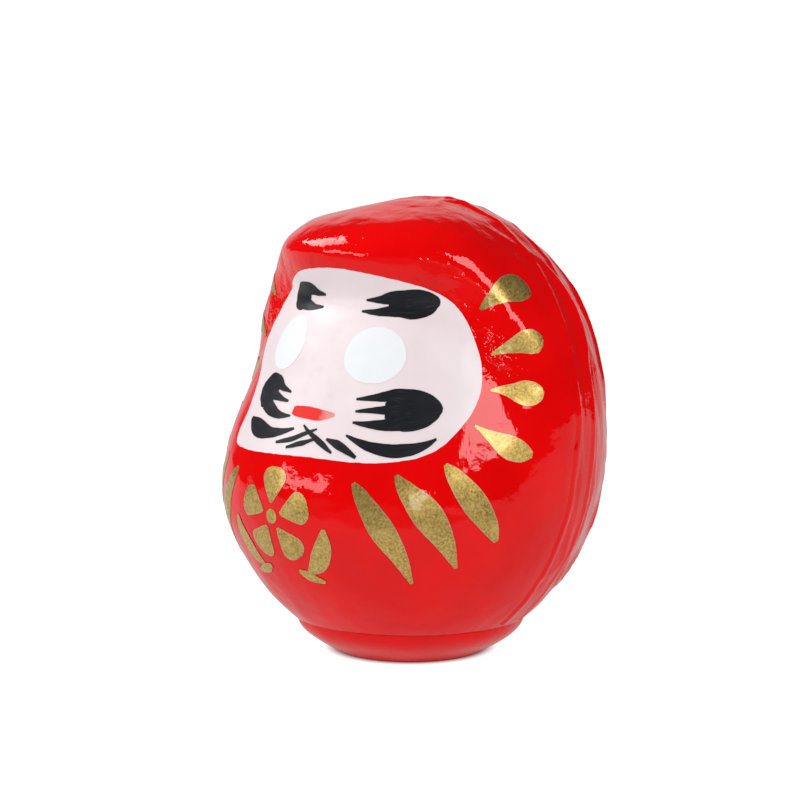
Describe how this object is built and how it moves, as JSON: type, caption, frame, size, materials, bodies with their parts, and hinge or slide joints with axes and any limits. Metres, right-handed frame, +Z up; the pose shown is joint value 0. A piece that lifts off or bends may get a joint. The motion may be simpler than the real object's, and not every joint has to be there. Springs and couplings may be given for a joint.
{
  "type": "daruma doll",
  "caption": "Hollow papier-mache doll with a sunken painted face, gold brush strokes and a weighted clay base.",
  "frame": {"origin": "centre of the flat foot that the doll rests on", "axes": "+Z up; the face looks along -Y; +X is the doll's own left"},
  "size_m": [0.105, 0.1019, 0.1203],
  "materials": {
    "red_lacquered_paper": "glossy red lacquer over papier-mache",
    "red_painted_clay": "satin red paint over clay",
    "glue": "dried glue",
    "bare_paper": "matte",
    "pale_ground": "satin paint film",
    "eye_white": "satin paint film",
    "ink": "brushed black paint film",
    "mouth_red": "paint film",
    "gold_paint": "metallic gold paint film"
  },
  "bodies": {
    "root": {"front_shell": "red_lacquered_paper", "rear_shell": "red_lacquered_paper", "joint_strip": "red_lacquered_paper", "base_weight": "red_painted_clay", "base_glue": "glue", "base_paper": "bare_paper", "face_ground": "pale_ground", "left_eye": "eye_white", "right_eye": "eye_white", "left_brow": "ink", "right_brow": "ink", "left_moustache": "ink", "right_moustache": "ink", "left_jaw_beard": "ink", "right_jaw_beard": "ink", "chin_whiskers": "ink", "mouth": "mouth_red", "gold_ornament": "gold_paint", "left_gold_stroke_1": "gold_paint", "left_gold_stroke_2": "gold_paint", "left_gold_stroke_3": "gold_paint", "left_gold_stroke_4": "gold_paint", "left_gold_stroke_5": "gold_paint", "left_gold_stroke_6": "gold_paint", "left_gold_stroke_7": "gold_paint", "right_gold_stroke_1": "gold_paint", "right_gold_stroke_2": "gold_paint", "right_gold_stroke_3": "gold_paint", "right_gold_stroke_4": "gold_paint", "right_gold_stroke_5": "gold_paint", "right_gold_stroke_6": "gold_paint", "right_gold_stroke_7": "gold_paint"}
  },
  "joints": []
}
